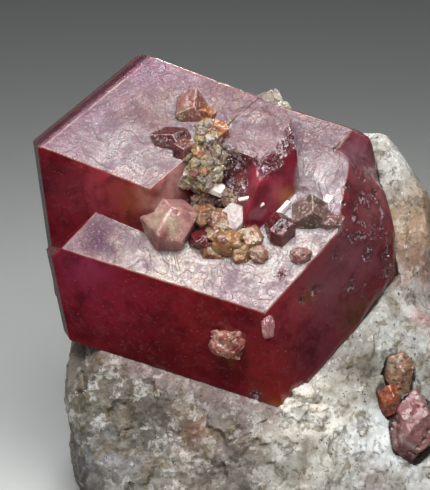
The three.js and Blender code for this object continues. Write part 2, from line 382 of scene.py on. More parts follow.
def marble_material():
    """Milky calcite grains over the block's own stains, with dark specks and glinting cleavages."""
    material, shader, place = start_material("calcite marble")
    coarse = broken_grains(place, 1.1, 0.7)
    fine = broken_grains(place, 0.3, 0.25)
    veins = noise(place, 2.2, 5.0, 0.7, 0.5)
    milky = times(span(coarse["Tone"], 0.55, 1.0, 0.0, 0.6), span(veins, 0.4, 0.58))
    shaded = times(span(coarse["Tone"], 0.4, 0.0, 0.0, 0.75), span(veins, 0.6, 0.42))
    colour = blend(milky, own_field(place, "tone", "Color"), (0.62, 0.6, 0.57, 1))
    colour = blend(shaded, colour, (0.09, 0.075, 0.065, 1))
    colour = overlaid(
        colour,
        (noise(place, 0.5, 5.0, 0.62), 0.48, 0.66, 0.6, (0.16, 0.12, 0.075)),
        (fine["Tone"], 0.75, 1.0, 0.2, (0.6, 0.58, 0.55)),
        (noise(place, 1.1, 5.0, 0.7, 0.6), 0.54, 0.63, 0.7, (0.12, 0.085, 0.03)),
        (noise(place, 3.4, 3.0, 0.6), 0.63, 0.68, 0.9, (0.02, 0.017, 0.01)))
    rough = noise(place, 5.0, 4.0, 0.6)
    height = weighted((fine["Height"], 0.4), (coarse["Height"], 0.12), (rough, 0.06))
    set_surface(shader, colour, span(fine["Tone"], 0.8, 0.86, 0.55, 0.1), height)
    set_body(shader, 1.55, 0.6, (1.0, 0.9, 0.8), 1.0)
    return material


# The lattices of the two garnets: they place every face, edge and small crystal of the specimen.
LATTICE = {
    "lower": np.array(Euler(np.radians((132.0, 15.2, 46.0)), "ZYX").to_matrix()),
    "upper": np.array(Euler(np.radians((127.6, 10.2, 45.5)), "ZYX").to_matrix()),
}
UPPER_STEP = (-3.4, 2.6, 6.4)  # mm from the lower garnet's near corner to the upper one's
DIRECTION = {
    "terrace": (1, 1, 0), "front": (0, 1, 1), "right": (1, 0, 1), "bevel": (3, 0, 1),
    "slope": (0, 1, 0), "rim": (1, 2, -1), "near": (1, 1, 1),
    "left": (-1, 1, -1), "back": (1, -1, -1), "down": (-1, -1, 1),
}


def direction(garnet, name):
    """A unit vector of a garnet: a face's normal, or the way that an edge runs."""
    index = np.array(DIRECTION[name], float)
    return LATTICE[garnet] @ (index / np.linalg.norm(index))


flat_corners, flat_faces = triangle_arrays(cad_bmesh("garnet_cluster"))
lower_corner = flat_corners[np.argmax(flat_corners @ direction("lower", "near"))]
CORNER = {"lower": lower_corner, "upper": lower_corner + UPPER_STEP}


def on_garnet(garnet, left=0.0, back=0.0, down=0.0):
    """A place on a garnet in mm: so far left, back and down along its edges from its near corner."""
    ways = zip((left, back, down), ("left", "back", "down"))
    return CORNER[garnet] + sum(distance * direction(garnet, way) for distance, way in ways)


points, faces, normals = remeshed("matrix", BLOCK_SPACING)
near = np.all((points > flat_corners.min(0) - GARNET_MARGIN)
              & (points < flat_corners.max(0) + GARNET_MARGIN), axis=1)
foot = points.copy()
foot[near] = nearest_on(points[near], flat_corners[flat_faces])
to_garnet = foot - points
clear = np.where(near, np.linalg.norm(to_garnet, axis=1), FAR_FROM_GARNET)
# The surface stays as it is beside the garnets and on the base, and the right side is smoother.
free = smoothstep(SEAT_GAP + 0.05, 1.3, clear) * smoothstep(0.1, 0.9, points[:, 2])
smooth_side = smoothstep(8.5, 11.0, points[:, 0]) * smoothstep(9.0, 12.0, points[:, 2])
broken = facets(points, 1.7, 0.2, 2) + facets(points, 0.7, 0.15, 3) + 0.04 * rough_noise(points, 0.5, 4)
broken = broken * (1 - 0.6 * smooth_side) * (1 - 0.35 * smoothstep(0.0, 3.0, points[:, 0]))
lumps = (LUMP_HEIGHT * rough_noise(points, 3.2, 1, 2) + broken
         - PIT_DEPTH * smoothstep(0.4, 0.85, rough_noise(points, 1.3, 9)))
closing = (SEAT_GAP + 0.04) * (1 - smoothstep(SEAT_GAP + 0.1, 1.0, clear))
way = to_garnet / np.maximum(clear, 1e-6)[:, None]
points = points + normals * (lumps * free)[:, None] + way * closing[:, None]
points = np.clip(points, np.array(cad_box[0]) / MM, np.array(cad_box[1]) / MM)

# Stains, grey and white parts: a centre in mm, a reach in mm, a colour and a strength.
STAINS = [
    ((-11.0, -7.5, 9.0), 3.6, (0.07, 0.056, 0.03), 0.92),
    ((-8.6, -8.3, 6.6), 2.4, (0.07, 0.054, 0.027), 0.9),
    ((-6.0, -8.9, 8.6), 2.4, (0.088, 0.066, 0.06), 0.85),
    ((-9.0, -9.0, 4.4), 2.6, (0.12, 0.115, 0.125), 0.8),
    ((-12.0, -7.5, 3.6), 2.2, (0.185, 0.185, 0.196), 0.85),
    ((-11.0, -7.0, 0.8), 2.0, (0.11, 0.088, 0.055), 0.85),
    ((-6.5, -9.5, 2.2), 2.4, (0.23, 0.206, 0.175), 0.85),
    ((-4.2, -9.4, 7.0), 1.4, (0.204, 0.082, 0.034), 0.9),
    ((-4.0, -9.6, 4.6), 1.4, (0.204, 0.095, 0.054), 0.8),
    ((-2.4, -10.0, 2.8), 2.0, (0.116, 0.088, 0.061), 0.85),
    ((-1.2, -10.0, 6.8), 2.2, (0.08, 0.045, 0.033), 0.92),
    ((0.2, -10.4, 4.4), 1.3, (0.095, 0.054, 0.027), 0.8),
    ((5.2, -9.2, 7.6), 3.3, (0.74, 0.7, 0.6), 0.97),
    ((3.4, -9.8, 3.2), 3.0, (0.45, 0.42, 0.35), 0.85),
    ((9.9, -8.7, 5.2), 3.6, (0.74, 0.78, 0.78), 0.98),
    ((8.4, -5.4, 11.0), 2.2, (0.12, 0.1, 0.06), 0.85),
    ((9.6, -3.8, 13.2), 1.4, (0.14, 0.1, 0.05), 0.85),
    ((8.6, -10.0, 3.8), 1.0, (0.16, 0.08, 0.06), 0.9),
    ((11.6, -2.0, 13.0), 4.0, (0.6, 0.62, 0.6), 0.95),
    ((11.4, 0.4, 20.0), 2.6, (0.42, 0.24, 0.11), 0.85),
    ((12.2, -0.8, 16.6), 1.9, (0.4, 0.17, 0.12), 0.85),
    ((11.3, -2.6, 14.6), 1.2, (0.62, 0.62, 0.6), 0.9),
    ((13.0, -2.4, 13.0), 1.4, (0.3, 0.08, 0.06), 0.7),
    ((10.5, 2.5, 23.5), 2.6, (0.58, 0.57, 0.53), 0.95),
    ((1.5, 9.0, 26.0), 3.0, (0.5, 0.46, 0.36), 0.95),
    ((-5.0, 11.0, 8.0), 5.0, (0.42, 0.4, 0.37), 0.85),
    ((6.0, 11.5, 13.0), 5.0, (0.46, 0.44, 0.42), 0.85),
    ((1.0, 11.5, 4.0), 3.0, (0.26, 0.2, 0.14), 0.7),
    ((15.5, 4.0, 9.0), 4.5, (0.46, 0.45, 0.44), 0.85),
]
tone = np.tile(BARE_MARBLE, (len(points), 1))
warped = wandering(points, 0.8, 2.2, 21)
for centre, reach, colour, strength in STAINS:
    tone = tinted(tone, strength * spot(warped, centre, reach), colour)
# A band along the garnets, drawn towards a darker pink than the marble round it.
contact = 0.8 * np.exp(-((clear - SEAT_GAP) ** 2)) * (points[:, 0] < CONTACT_END)
fields = {"tone": tinted(tone, contact, PINK_CONTACT)}
new_piece("marble_block", points, faces, marble_material(), "marble", fields, 38, "matrix")

# ---- The two garnets ----
# Raspberry-red grossular, grown as two dodecahedra into one another. Their upper faces are etched
# and pale in the light, and their near faces are clear enough to look into.

RIDGE_ANGLE = 8.0  # degrees between two faces that meet in an edge
LOW_STEP = 0.6  # mm: a face narrower than this is a step too low to show as an edge
MOST_CUTS = 9  # each halves the longest edges, so this many are enough
FACE_SPACING = 0.3  # mm between points on the faces
EDGE_SPACING = 0.13  # and along the outer edges
GARNET_IOR = 1.74
CLEAR_RED = (0.93, 0.2, 0.25, 1)  # what is left of white light in the clear garnet
RED_PER_METRE = 320.0  # how strongly it is taken up
UNCOVERED_HEIGHT = 20.0  # mm: above this, the rear faces of the garnets stand free of the block
STEP_HEIGHT = 0.06  # mm: the growth steps on the terraces, all five together
TERRACE_WAVE = 0.022  # mm: how far the terraces wave between them
FINE_WAVE = 0.012  # mm: the faint waves of all faces
ISLAND_HEIGHT = 0.1  # mm: a low plateau on the upper terrace
DARK_BAND = (0.07, 0.03, 0.05)
CLEAR_BODY = (0.19, 0.011, 0.019)


def distance_to_edges(points, edges):
    """Distance of each point to the nearest of some straight edges, given by their two ends."""
    best = np.full(len(points), np.inf)
    for start, end in edges:
        along = end - start
        share = np.clip((points - start) @ along / (along @ along), 0, 1)
        away = points - start - share[:, None] * along
        best = np.minimum(best, np.einsum("ij,ij->i", away, away))
    return np.sqrt(best)


def cut_once(points, faces, too_long):
    """Cuts the edges that are too long at their middles, and each triangle into two, three or four.
    too_long takes the edges' ends and gives true or false for each."""
    key = np.sort(np.stack([faces, np.roll(faces, -1, axis=1)], axis=2), axis=2).astype(np.int64)
    key = key[..., 0] * len(points) + key[..., 1]
    edges, number = np.unique(key, return_inverse=True)
    number = number.reshape(-1, 3)
    ends = np.stack([edges // len(points), edges % len(points)], axis=1)
    cut = too_long(ends)
    middle = np.full(len(edges), -1)
    middle[cut] = len(points) + np.arange(cut.sum())
    middles = points[ends[cut]].mean(axis=1)
    mid = middle[number]
    count = (mid >= 0).sum(axis=1)
    first = np.where(count == 1, np.argmax(mid >= 0, axis=1), (np.argmin(mid >= 0, axis=1) + 1) % 3)
    turn = (first[:, None] + np.arange(3)) % 3
    (a, b, c), (m, n, o) = (np.take_along_axis(x, turn, axis=1).T for x in (faces, mid))
    one, two, all_three = (count == k for k in (1, 2, 3))
    parts = [faces[count == 0]]
    parts += [np.stack(t, 1)[one] for t in ((a, m, c), (m, b, c))]
    parts += [np.stack(t, 1)[two] for t in ((m, b, n), (a, m, n), (a, n, c))]
    parts += [np.stack(t, 1)[all_three] for t in ((a, m, o), (m, b, n), (o, n, c), (m, n, o))]
    return middles, np.vstack(parts)


def point_normals(points, faces):
    """The direction that the skin faces at each point: the mean of its triangles, by their areas."""
    corners = points[faces]
    normal = np.cross(corners[:, 1] - corners[:, 0], corners[:, 2] - corners[:, 0])
    total = np.stack([np.bincount(faces.ravel(), np.repeat(normal[:, k], 3), len(points))
                      for k in range(3)], axis=1)
    return total / (np.linalg.norm(total, axis=1, keepdims=True) + 1e-12)


def finely_cut(shape, spacing, edge_spacing, coarse=None):
    """Cuts a flat-faced solid into small triangles, finest along its outer edges. Gives points,
    faces, the distance to the nearest outer edge, and that to the nearest edge of a low step."""
    bmesh.ops.dissolve_limit(shape, angle_limit=np.radians(0.5), verts=shape.verts, edges=shape.edges)
    bent = [e for e in shape.edges if abs(e.calc_face_angle(0)) > np.radians(RIDGE_ANGLE)]
    width = [min(f.calc_area() for f in e.link_faces) / e.calc_length() / MM for e in bent]
    outer = [e.calc_face_angle_signed(0) > 0 for e in bent]
    ends = [np.array([v.co for v in e.verts]) / MM for e in bent]
    ridges = [e for e, w, out in zip(ends, width, outer) if w > LOW_STEP and out]
    steps = [e for e, w in zip(ends, width) if w <= LOW_STEP]
    points, faces = triangle_arrays(shape)
    reach = distance_to_edges(points, ridges)

    def too_long(ends):
        """Longer than the spacing wanted there, with a third over."""
        length = np.linalg.norm(points[ends[:, 0]] - points[ends[:, 1]], axis=1)
        wanted = edge_spacing + (spacing - edge_spacing) * smoothstep(0.05, 0.5, reach[ends].min(axis=1))
        if coarse:
            wanted[coarse(points[ends].mean(axis=1), normals[ends].mean(axis=1))] = 3 * spacing
        return length > 1.35 * wanted

    for _ in range(MOST_CUTS):
        normals = point_normals(points, faces)
        middles, faces = cut_once(points, faces, too_long)
        points = np.vstack([points, middles])
        reach = np.concatenate([reach, distance_to_edges(middles, ridges)])
    return points, faces, reach, distance_to_edges(points, steps)


def relaxed(points, faces, share, rounds):
    """Draws each point towards the mean of its neighbours by its share, a few times over."""
    ends = np.vstack([faces[:, [0, 1]], faces[:, [1, 2]], faces[:, [2, 0]]])
    ends = np.vstack([ends, ends[:, ::-1]])
    count = np.bincount(ends[:, 0], minlength=len(points))[:, None]
    for _ in range(rounds):
        mean = np.stack([np.bincount(ends[:, 0], row[ends[:, 1]], len(row)) for row in points.T], axis=1)
        points = points + share[:, None] * (mean / count - points)
    return points


WORM_HEIGHT = 0.075  # mm: the wavering ridges, and the finer parts of the etching
FLECK_HEIGHT = 0.013
LINE_DEPTH = 0.018
GROOVE_DEPTH = 0.006


def etching(place):
    """Growth etching: low hillocks with contour lines round them, and fine wavering grooves. Gives
    its height in mm, its lines, its patches and its flecks."""
    hills = noise(place, 0.4, 2.0, 0.45, 0.6)
    lines = span(maths("PINGPONG", times(hills, 9.0), 0.5), 0.0, 0.07, 1.0, 0.0)
    worms = noise(place, 2.2, 4.0, 0.6, 1.2)
    off_middle = maths("ABSOLUTE", maths("SUBTRACT", worms, 0.5))
    grooves = span(off_middle, 0.0, 0.03, 1.0, 0.0)
    flecks = noise(place, 5.0, 3.0, 0.7)
    height = weighted((worms, WORM_HEIGHT), (flecks, FLECK_HEIGHT), (lines, -LINE_DEPTH),
                      (grooves, -GROOVE_DEPTH))
    return height, maths("MAXIMUM", lines, times(grooves, 0.6)), noise(place, 0.7, 5.0, 0.65), flecks


def garnet_material():
    """Red garnet: see-through and red in its depth, pale and etched on the terraces, with a painted
    highlight along its edges, and pale crushed grains with painted glints where it is broken."""
    material, shader, place = start_material("raspberry garnet")
    tone = own_field(place, "tone", "Color")
    terrace, rim, crushed, dull = (own_field(place, f) for f in ("terrace", "rim", "crushed", "dull"))
    etched, lines, patches, flecks = etching(place)
    fine = broken_grains(place, 0.17, 0.2)
    haze = noise(place, 1.5, 5.0, 0.7, 0.8)
    body = overlaid(
        tone,
        (noise(place, 0.6, 4.0, 0.6, 0.4), 0.42, 0.7, 0.6, (0.06, 0.003, 0.006)),
        (haze, 0.5, 0.72, 0.3, (0.24, 0.07, 0.1)),
        (noise(place, 6.0, 2.0, 0.6), 0.68, 0.74, 0.5, (0.5, 0.22, 0.22)))
    frost = overlaid(
        tone,
        (patches, 0.46, 0.6, 0.75, (0.16, 0.075, 0.115)),
        (flecks, 0.52, 0.7, 0.55, (0.62, 0.52, 0.5)))
    frost = blend(times(lines, 0.8), frost, (0.12, 0.05, 0.045, 1))
    # Crushed places: dark broken garnet whose brighter grains are pale, partly the real pallor of crushed
    # garnet and partly painted glints.
    pale_and_glint_grains = times(span(fine["Tone"], 0.62, 0.8), span(crushed, 0.45, 0.9))
    broken = blend(pale_and_glint_grains, (0.1, 0.03, 0.038, 1), (0.56, 0.42, 0.46, 1))
    colour = blend(times(crushed, 0.7), blend(terrace, body, frost), broken)
    # Painted highlight: a pale beige line along the outer edges beside the terraces, from the rim field.
    colour = blend(times(rim, 0.75), colour, (0.74, 0.52, 0.42, 1))
    # The clear faces are the smoothest, and the terraces are silky or dull.
    patchy = maths("ADD", dull, span(patches, 0.45, 0.62, 0.0, 0.25))
    gloss = maths("ADD", span(haze, 0.4, 0.7, 0.1, 0.26), times(terrace, patchy))
    harsh = times(crushed, times(crushed, 1.3))
    height = weighted((etched, span(terrace, 0.0, 1.0, 0.12, 1.0)), (fine["Height"], harsh))
    set_surface(shader, colour, gloss, height)
    set_body(shader, GARNET_IOR, 0.6, (1.0, 0.14, 0.16), 2.5, 0.25)
    tree = material.node_tree
    depth = add_node(tree, "VolumeAbsorption", {"Color": CLEAR_RED, "Density": RED_PER_METRE})
    fill(tree.nodes["Material Output"].inputs, {"Volume": depth.outputs[0]})
    return material


def hidden(places, normals):
    """True on the far faces, which the block covers."""
    return (normals @ direction("lower", "near") < -0.4) & (places[:, 2] < UNCOVERED_HEIGHT)


points, faces, edge_reach, step_reach = finely_cut(
    cad_bmesh("garnet_cluster"), FACE_SPACING, EDGE_SPACING, hidden)
normals = point_normals(points, faces)


def facing(garnet, face, sharpness=0.04):
    """1 where the surface is this face of the garnet, and 0 where it is turned away from it."""
    return smoothstep(1 - 2 * sharpness, 1 - sharpness, normals @ direction(garnet, face))


# How much of each point is pale, etched terrace, with the edges of its steps and the upper rim.
terrace = np.maximum(facing("lower", "terrace"), facing("upper", "terrace"))
beside_terrace = relaxed(terrace[:, None], faces, np.ones(len(points)), 8)[:, 0]
low_step = 1 - smoothstep(0.25, 0.5, step_reach)
terrace = np.maximum(terrace, low_step * smoothstep(0.08, 0.35, beside_terrace))
under_upper = (CORNER["upper"] - points) @ direction("upper", "terrace")
pale_rim = facing("upper", "rim") * (1 - smoothstep(0.1, 0.35, under_upper))
terrace = np.maximum(terrace, pale_rim)
# The walls of the lowest steps keep the pale etching of the terraces.
upper_step = spot(points, on_garnet("upper", 5.1, 9.4), 2.4) * (under_upper < 0.3)
lower_step = np.maximum(spot(points, on_garnet("lower", 4.7, 12.4, -0.2), 1.6),
                        spot(points, on_garnet("lower", 3.2, 11.0, -0.3), 1.0))
step_faces = smoothstep(0.25, 0.4, np.maximum(upper_step, lower_step))
terrace = np.maximum(terrace, step_faces)
bevel = facing("lower", "bevel")

# The right end is corroded round, the low steps melt into the faces, and the ridges are blunt.
round_end = smoothstep(0.3, 0.6, spot(points, on_garnet("lower", 0, 14.0, 3.0), 8.0))
points = relaxed(points, faces, 0.5 * round_end * (1 - terrace), 150)
points = relaxed(points, faces, 0.5 * (1 - smoothstep(0.1, 0.3, step_reach)), 10)
points = relaxed(points, faces, 0.5 * (1 - smoothstep(0.0, 0.14, edge_reach)), 2)
outward = point_normals(points, faces)

inner = smoothstep(0.1, 0.6, edge_reach)
hills = rough_noise(points, 2.6, 31)
steps = STEP_HEIGHT * np.floor(5 * hills) / 5
relief = inner * terrace * (steps + FINE_WAVE * rough_noise(points, 0.6, 32))
relief += inner * (1 - terrace) * FINE_WAVE * rough_noise(points, 1.6, 33)
relief += inner * terrace * TERRACE_WAVE * rough_noise(points, 1.5, 40)
island = spot(points, on_garnet("upper", 3.7, 8.8), 1.5)
island = smoothstep(0.42, 0.5, island + 0.12 * rough_noise(points, 1.0, 38))
relief += ISLAND_HEIGHT * island * terrace

# Broken and pitted places on each garnet: way left, back and down, and reach in mm.
WORN_PLACES = {
    "upper": [
        (1.1, 9.2, 0, 0.8), (0.7, 8.0, 0, 0.9), (0.4, 6.6, 0, 0.9), (0.3, 5.4, 0.2, 0.8),
        (1.3, 5.6, 0.1, 0.6), (3.2, 5.9, 0.8, 1.3), (4.2, 5.9, 2.4, 1.1), (2.1, 4.7, 1.9, 0.9),
        (3.7, 5.2, 3.1, 1.0), (2.3, 4.1, 2.9, 0.8), (5.1, 3.4, 1.6, 0.7),
    ],
    "lower": [
        (0, 10.8, 3.7, 0.8), (0, 12.4, 1.4, 0.9), (0, 14.4, 1.6, 0.8), (0, 3.6, 1.9, 0.45),
        (0, 5.1, 2.3, 0.6), (1.1, 3.5, 0, 0.6), (1.9, 0, 7.6, 0.6),
    ],
}
worn = np.zeros(len(points))
for garnet, places in WORN_PLACES.items():
    for *place, reach in places:
        worn = np.maximum(worn, spot(points, on_garnet(garnet, *place), reach))
pitted = spot(points, on_garnet("lower", 0, 12.6, 1.2), 3.0)
worn = np.maximum(worn, 0.55 * bevel * smoothstep(0.25, 0.55, pitted + 0.3 * rough_noise(points, 1.0, 39)))
worn = np.maximum(worn, 0.42 * round_end * (1 - terrace))
worn = smoothstep(0.3, 0.8, worn + 0.3 * rough_noise(points, 0.9, 34))
terrace = terrace * (1 - 0.9 * worn)
relief += worn * (facets(points, 0.5, 0.3, 35) + 0.08 * rough_noise(points, 0.5, 36) - 0.06)
jagged = spot(points, on_garnet("lower", 0.8, 12.0), 4.0)
chips = smoothstep(0.35, 0.7, rough_noise(points, 1.1, 37)) * (1 - smoothstep(0.0, 0.3, edge_reach))
relief -= (0.08 + 0.25 * jagged) * chips
points = points + outward * relief[:, None]

# Colours of places on the faces: way left, back and down, reach, colour, strength.
PATCHES = {
    "lower": [
        (5.4, 0, 3.3, 3.4, (0.29, 0.02, 0.021), 0.85),
        (9.5, 0, 2.0, 3.0, (0.245, 0.014, 0.025), 0.8),
        # Painted reflection: the mauve sheen near the top left of the lower garnet's front face.
        (13.7, 0, 0.8, 1.8, (0.34, 0.043, 0.119), 0.85),
        (12.5, 0, 3.5, 3.0, (0.286, 0.018, 0.042), 0.8),
        (9.5, 0, 7.8, 4.0, (0.095, 0.006, 0.007), 0.85),
        (3.7, 0, 6.4, 1.2, (0.068, 0.004, 0.006), 0.85),
        (0.9, 0, 6.2, 1.5, (0.28, 0.02, 0.014), 0.8),
        (0.5, 0, 7.7, 0.8, (0.374, 0.115, 0.021), 0.95),
        (3.2, 0, 4.9, 0.9, (0.272, 0.072, 0.021), 0.7),
        (0, 2.4, 1.7, 2.2, (0.34, 0.036, 0.049), 0.9),
        (0, 1.2, 5.0, 2.0, (0.272, 0.022, 0.021), 0.8),
        (0, 3.8, 6.5, 2.2, (0.109, 0.025, 0.035), 0.85),
        (0, 6.7, 2.9, 3.0, (0.215, 0.078, 0.095), 0.9),
        (0, 10.5, 3.0, 3.0, (0.24, 0.085, 0.105), 0.85),
        (0, 12.6, 2.0, 1.8, (0.286, 0.065, 0.07), 0.8),
        (0, 4.4, 2.3, 0.7, (0.34, 0.144, 0.056), 0.8),
        (0, 8.4, 7.0, 1.6, (0.136, 0.065, 0.035), 0.8),
        (0, 16.5, 1.6, 2.4, (0.5, 0.2, 0.26), 0.95),
        (0, 13.4, 0.8, 1.8, (0.34, 0.15, 0.13), 0.85),
        (4.3, 15.8, 0.6, 2.0, (0.42, 0.17, 0.22), 0.9),
    ],
    "upper": [
        (13.6, 0, 2.5, 1.8, (0.088, 0.009, 0.014), 0.95),
        (9.6, 0, 1.2, 2.4, (0.374, 0.05, 0.07), 0.9),
        (6.6, 0, 1.6, 1.5, (0.32, 0.07, 0.025), 0.95),
        (0, 5.6, 1.8, 3.0, (0.408, 0.05, 0.098), 0.9),
        (0, 6.6, 3.2, 0.9, (0.408, 0.144, 0.035), 0.9),
        (3.4, 5.0, 2.9, 1.0, (0.16, 0.05, 0.05), 0.9),
        (5.1, 1.8, 0.5, 1.7, (0.6, 0.32, 0.3), 0.95),
        (5.1, 0.6, 1.6, 1.2, (0.48, 0.22, 0.18), 0.9),
        (3.4, 5.9, 0.7, 1.2, (0.095, 0.009, 0.014), 0.9),
        (2.4, 5.0, 1.8, 1.2, (0.204, 0.058, 0.056), 0.7),
    ],
}
# The same for the pale terraces, but without the way down, and with how dull each place is.
FROST = {
    "upper": [
        (9.0, 6.0, 30.0, (0.27, 0.125, 0.17), 1.0, 0.13),
        (13.0, 10.0, 2.2, (0.26, 0.11, 0.22), 0.85, 0.12),
        (11.4, 3.2, 2.0, (0.36, 0.26, 0.35), 0.8, 0.05),
        (13.2, 4.6, 1.4, (0.16, 0.05, 0.11), 0.9, 0.3),
        (11.6, 1.9, 1.1, (0.18, 0.07, 0.1), 0.85, 0.3),
        (7.4, 2.4, 1.3, (0.17, 0.08, 0.12), 0.85, 0.3),
        (6.6, 9.6, 1.2, (0.24, 0.1, 0.06), 0.85, 0.25),
        (12.8, 1.6, 1.0, (0.2, 0.08, 0.14), 0.8, 0.2),
        (10.2, 5.6, 1.9, (0.17, 0.065, 0.04), 0.95, 0.45),
        (10.4, 8.2, 1.3, (0.24, 0.12, 0.1), 0.8, 0.2),
        (9.0, 2.4, 2.0, (0.4, 0.33, 0.36), 0.8, 0.05),
        (8.8, 7.4, 1.0, (0.4, 0.34, 0.3), 0.8, 0.05),
        (4.8, 9.5, 2.8, (0.21, 0.09, 0.085), 0.9, 0.2),
        (3.7, 8.8, 0.9, (0.5, 0.36, 0.36), 0.9, 0.0),
        (4.6, 3.0, 1.2, (0.45, 0.38, 0.3), 0.7, 0.0),
    ],
    "lower": [
        (9.0, 2.0, 5.5, (0.54, 0.44, 0.34), 0.9, 0.0),
        (2.0, 5.5, 4.5, (0.5, 0.42, 0.38), 0.95, 0.0),
        (13.9, 1.9, 2.2, (0.1, 0.03, 0.08), 1.0, 0.85),
        (12.0, 2.4, 1.1, (0.25, 0.14, 0.1), 0.8, 0.15),
        (3.6, 1.5, 1.3, (0.26, 0.13, 0.2), 0.8, 0.2),
        (10.0, 0.9, 1.1, (0.28, 0.15, 0.2), 0.8, 0.15),
        (7.6, 2.1, 0.3, (0.12, 0.05, 0.05), 0.9, 0.3),
        (6.4, 14.5, 4.2, (0.15, 0.06, 0.07), 0.95, 0.3),
        (3.0, 11.0, 2.6, (0.5, 0.42, 0.43), 0.85, 0.0),
    ],
}
tone = np.tile(CLEAR_BODY, (len(points), 1))
warped = wandering(points, 0.7, 2.0, 41)
for garnet, places in PATCHES.items():
    for *place, reach, colour, strength in places:
        share = strength * (1 - terrace) * spot(warped, on_garnet(garnet, *place), reach)
        tone = tinted(tone, share, colour)
dull = np.zeros(len(points))
warped = wandering(points, 0.5, 1.2, 45)
for garnet, places in FROST.items():
    for *place, reach, colour, strength, dullness in places:
        share = strength * terrace * spot(warped, on_garnet(garnet, *place), reach)
        tone = tinted(tone, share, colour)
        dull += share * (dullness - dull)
# The rim field is a painted highlight along the outer edges beside the terraces, kept off the worn places
# and the step walls.
near_terrace = relaxed(terrace[:, None], faces, np.ones(len(points)), 2)[:, 0]
rim = (1 - smoothstep(0.02, 0.1, edge_reach)) * (0.6 + 0.5 * rough_noise(points, 0.8, 44))
rim = np.clip(rim, 0, 1) * smoothstep(0.05, 0.3, near_terrace) * (1 - worn) * (1 - step_faces)
tone = tinted(tone, 0.85 * facing("upper", "rim") * (1 - terrace), DARK_BAND)
fields = {"tone": tone, "terrace": terrace, "rim": rim, "crushed": worn, "dull": dull}
GARNET_SKIN = points
new_piece("garnets", points, faces, garnet_material(), "raspberry_garnet", fields, 32, "garnet_cluster")

# ---- Small crystals on the garnets ----
# Pink-beige, wine-red, brown and orange grossulars, a millimetre or three across, grown on the two
# large ones. Each is a dodecahedron of its own, sunk into the face that it grew on.

DODECAHEDRON = [(1, 1, 0), (0, 1, 1), (1, 0, 1), (-1, 1, 0), (0, 1, -1), (1, 0, -1),
                (1, -1, 0), (0, -1, 1), (-1, 0, 1), (-1, -1, 0), (0, -1, -1), (-1, 0, -1)]
FACE_WAVE = 0.04  # of a small crystal's radius: how far its faces wave
FACE_PIT = 0.06  # and how deep its pits are
FACE_GROWTH = 0.11  # and how unevenly its faces grew


def turned(degrees):
    """A turn about x, then y, then z, in a lattice's own order."""
    return np.array(Euler(np.radians(degrees), "ZYX").to_matrix())


def solid_between(normals, reach, centre, stretch=(1, 1, 1)):
    """The solid behind every plane: each three planes meet in a point, the points that no other
    plane cuts off are its corners, and the skin is the hull of them."""
    triples = np.array(list(combinations(range(len(normals)), 3)))
    planes, reaches = normals[triples], reach[triples]
    meet = np.abs(np.linalg.det(planes)) > 1e-6
    corners = np.linalg.solve(planes[meet], reaches[meet][..., None])[..., 0]
    corners = corners[np.all(corners @ normals.T < reach + 1e-6, axis=1)]
    mesh = bpy.data.meshes.new("corners")
    mesh.from_pydata((centre + corners * stretch) * MM, [], [])
    shape = bmesh.new()
    shape.from_mesh(mesh)
    bpy.data.meshes.remove(mesh)
    bmesh.ops.remove_doubles(shape, verts=shape.verts, dist=1e-6)
    bmesh.ops.convex_hull(shape, input=shape.verts)
    return shape


def weathered(shape, radius, seed, roughness=1.0):
    """A flat-faced solid finely cut, with blunt edges, wavy faces and small pits."""
    points, faces, edge_reach, _ = finely_cut(shape, 0.11 * radius, 0.055 * radius)
    points = relaxed(points, faces, 0.5 * (1 - smoothstep(0, 0.16 * radius, edge_reach)), 6)
    wave = (FACE_WAVE * rough_noise(points, 0.7 * radius, seed)
            - FACE_PIT * smoothstep(0.5, 0.9, rough_noise(points, 0.3 * radius, seed + 3)))
    relief = roughness * radius * (0.8 * wave + 0.35 * facets(points / radius, 0.3, 0.08, seed + 5))
    return points + point_normals(points, faces) * relief[:, None], faces, edge_reach


def crystal(centre, radius, turn=(0, 0, 0), stretch=(1, 1, 1)):
    """A dodecahedron whose faces all grew a little differently."""
    normals = np.array(DODECAHEDRON) / np.sqrt(2) @ (turned(turn) @ LATTICE["lower"]).T
    uneven = np.sin(5 * np.arange(len(normals)) + 9 * radius)
    return solid_between(normals, radius * (1 + FACE_GROWTH * uneven), centre, stretch)


def mottled(points, colours, size, seed):
    """The first colour, with each next one laid over it in cloudy patches."""
    tone = np.tile(colours[0], (len(points), 1)).astype(float)
    for number, colour in enumerate(colours[1:]):
        share = smoothstep(0.0, 0.6, rough_noise(points, size, seed + 11 * number))
        tone = tinted(tone, share, colour)
    return tone


def small_crystal_material(name, see_through, dullness, glow, frosting):
    """Garnet in a small crystal: its own tone with darker clouds, frosting, fine pits and a faint painted
    highlight along its edges.
    """
    material, shader, place = start_material(name)
    tone = own_field(place, "tone", "Color")
    fine = broken_grains(place, 0.13, 0.08)
    cloud = noise(place, 2.4, 4.0, 0.6)
    dark = blend(1.0, tone, (0.45, 0.35, 0.35, 1), "MULTIPLY")
    colour = blend(span(cloud, 0.4, 0.68, 0.0, 0.7), tone, dark)
    colour = overlaid(colour, (fine["Tone"], 0.85, 0.92, frosting, (0.8, 0.66, 0.6)))
    # Painted highlight: a faint pale line along the crystal's edges, from its rim field.
    colour = blend(times(own_field(place, "rim"), 0.15), colour, (0.75, 0.5, 0.42, 1))
    height = weighted((fine["Height"], 0.35), (noise(place, 9.0, 3.0, 0.6), 0.03))
    set_surface(shader, colour, span(cloud, 0.3, 0.7, dullness, dullness + 0.14), height, 0.8)
    set_body(shader, GARNET_IOR, 0.5, (1.0, 0.4, 0.35), glow, see_through)
    return material


